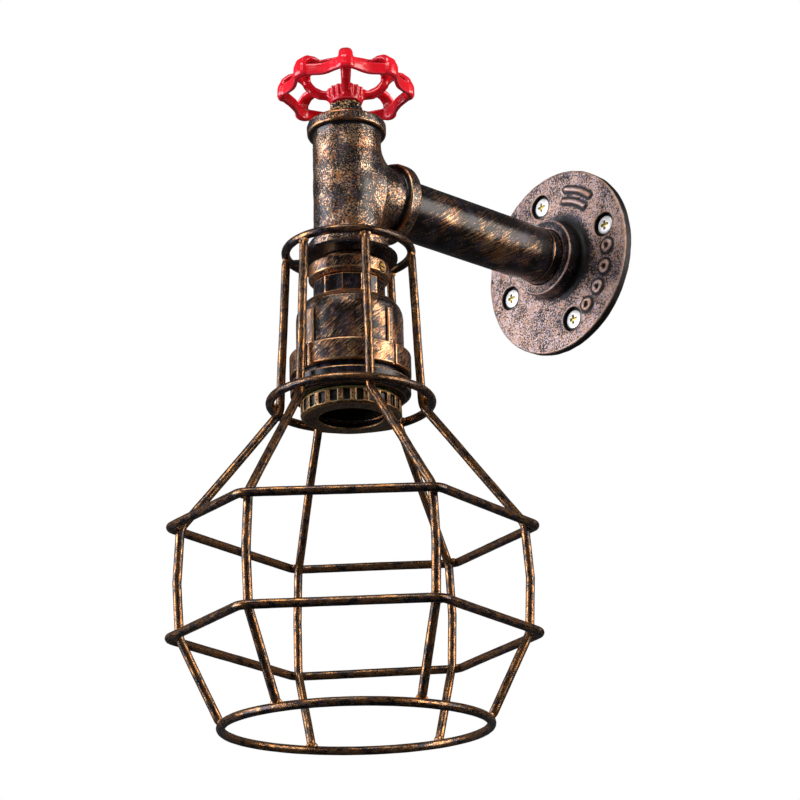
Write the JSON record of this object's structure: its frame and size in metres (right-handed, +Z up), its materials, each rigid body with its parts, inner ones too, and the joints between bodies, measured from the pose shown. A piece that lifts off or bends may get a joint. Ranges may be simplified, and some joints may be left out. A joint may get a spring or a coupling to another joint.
{
  "type": "pipe wall lamp",
  "caption": "Wall lamp of pipe fittings: round cast wall flange, pipe arm and tee with a red handwheel on top, and a lampholder in a wire cage hanging below.",
  "frame": {"origin": "centre of the wall flange's back face, on the wall plane", "axes": "+Z up, +Y into the wall, the arm leaves the wall along -Y, +X to the right for someone facing the wall"},
  "size_m": [0.1557, 0.2209, 0.3126],
  "materials": {
    "cast_bronze_finish": "malleable iron with a dark antique bronze finish rubbed back to copper on the high spots",
    "brushed_bronze_finish": "black paint with diagonal brushed copper streaks",
    "wire_bronze_finish": "steel wire with a dark antique bronze finish",
    "red_enamel": "glossy red enamel over a casting",
    "nickel_steel": "bright plated steel",
    "brass": "plain turned brass",
    "white_ceramic": "unglazed white ceramic",
    "fibre": "olive fibre washer",
    "brown_sleeve": "brown wire sleeve",
    "blue_sleeve": "blue wire sleeve"
  },
  "bodies": {
    "wall_bracket": {"wall_flange": "cast_bronze_finish", "tee": "cast_bronze_finish", "top_plug": "cast_bronze_finish", "stem_collar": "cast_bronze_finish", "lower_bush": "cast_bronze_finish", "cage_plate": "cast_bronze_finish", "arm_pipe": "brushed_bronze_finish", "holder_cap": "brushed_bronze_finish", "holder_neck": "brushed_bronze_finish", "holder_shell": "brushed_bronze_finish", "clamp_band": "brushed_bronze_finish", "holder_skirt": "brushed_bronze_finish", "cage_top_ring": "wire_bronze_finish", "cage_neck_ring": "wire_bronze_finish", "cage_upper_hexagon": "wire_bronze_finish", "cage_lower_hexagon": "wire_bronze_finish", "cage_mouth_ring": "wire_bronze_finish", "cage_rib_1": "wire_bronze_finish", "cage_rib_2": "wire_bronze_finish", "cage_rib_3": "wire_bronze_finish", "cage_rib_4": "wire_bronze_finish", "cage_rib_5": "wire_bronze_finish", "cage_rib_6": "wire_bronze_finish", "wall_screw_1": "nickel_steel", "wall_screw_2": "nickel_steel", "wall_screw_3": "nickel_steel", "wall_screw_4": "nickel_steel", "valve_stem": "nickel_steel", "wheel_washer": "nickel_steel", "wheel_nut": "nickel_steel", "lamp_nipple": "brass", "nipple_nut_upper": "brass", "nipple_nut_lower": "brass", "screw_shell": "brass", "contact_rivet": "brass", "live_terminal": "brass", "neutral_terminal": "brass", "set_screw": "brass", "insulator": "white_ceramic", "plate_gasket": "fibre", "live_lead": "brown_sleeve", "neutral_lead": "blue_sleeve"},
    "handwheel": {"handwheel": "red_enamel"},
    "ring_washer": {"ring_washer": "fibre"},
    "ring_nut": {"ring_nut": "brushed_bronze_finish"},
    "centre_contact": {"centre_contact": "brass"}
  },
  "joints": [
    {"name": "wheel_turn", "type": "hinge", "parent": "wall_bracket", "child": "handwheel", "pos_m": [0, -0.1418, 0.048], "axis": [0, 0, 1], "continuous": true},
    {"name": "nut_travel", "type": "slide", "parent": "wall_bracket", "child": "ring_washer", "axis": [0, 0, -1], "range_m": [0, 0.004]},
    {"name": "nut_turn", "type": "hinge", "parent": "ring_washer", "child": "ring_nut", "pos_m": [0, -0.1418, -0.109], "axis": [0, 0, -1], "range_deg": [0, 720]},
    {"name": "contact_bend", "type": "hinge", "parent": "wall_bracket", "child": "centre_contact", "pos_m": [-0.0082, -0.1418, -0.0766], "axis": [0, -1, 0], "range_deg": [0, 8], "stiffness_Nm_per_rad": 0.05}
  ],
  "couplings": [
    {"joint": "nut_turn", "follows": "nut_travel", "rad_per_m": 3141.6}
  ]
}
